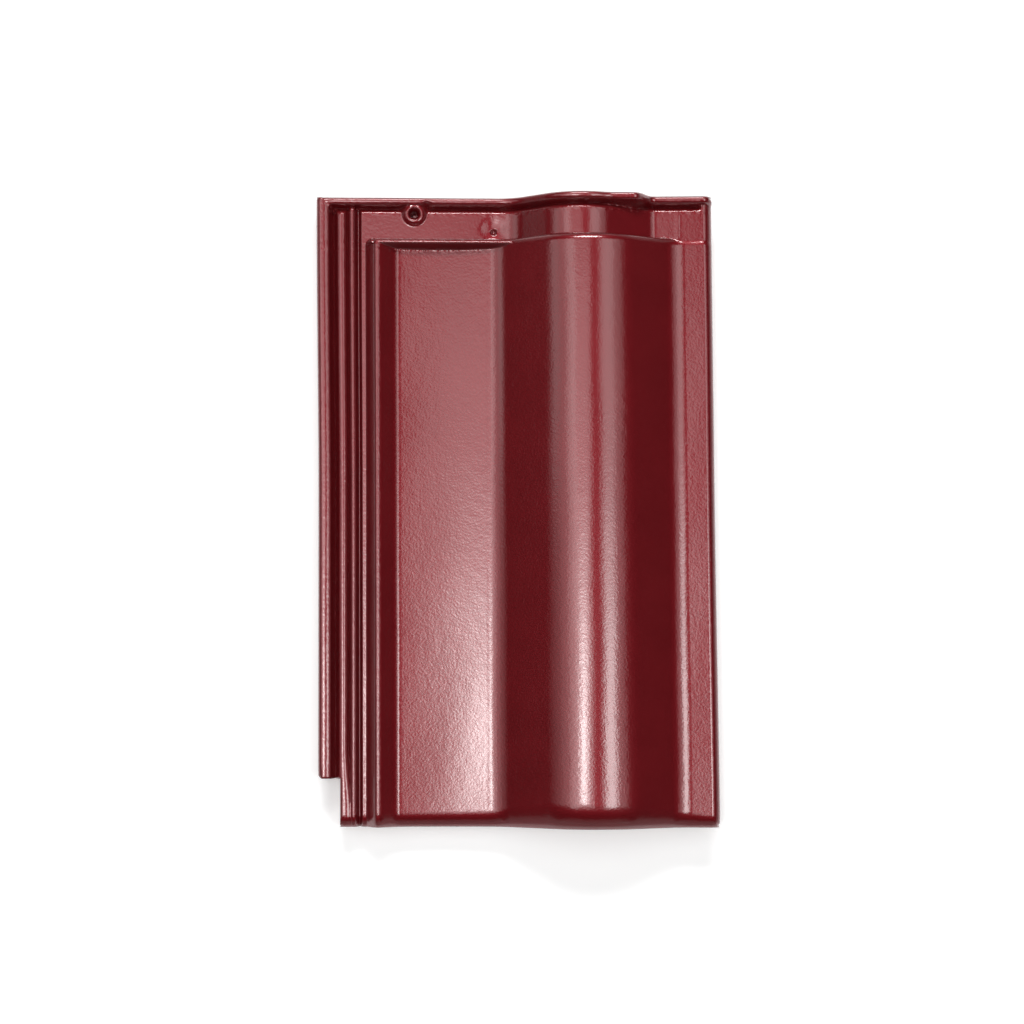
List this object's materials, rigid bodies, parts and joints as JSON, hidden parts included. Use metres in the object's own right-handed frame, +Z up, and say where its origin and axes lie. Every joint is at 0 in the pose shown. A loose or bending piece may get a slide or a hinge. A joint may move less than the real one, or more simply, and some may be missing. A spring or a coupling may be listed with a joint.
{
  "type": "roof tile",
  "caption": "Glazed clay roof tile with a flat pan beside a rounded roll, ribbed locks along one side and the head and a nail hole; tiles hook on battens and overlap to shed rain",
  "frame": {"origin": "On the floor under the middle of the tile's outline, with the tile lying on its nibs and foot rib", "axes": "+X from the ribbed water lock to the cover strip, +Y from the nose to the head, +Z up out of the glazed face"},
  "size_m": [0.284, 0.45, 0.055],
  "materials": {
    "glazed_clay": "glossy wine-red glaze with a fine orange-peel skin"
  },
  "bodies": {
    "root": {"roof_tile": "glazed_clay"}
  },
  "joints": []
}
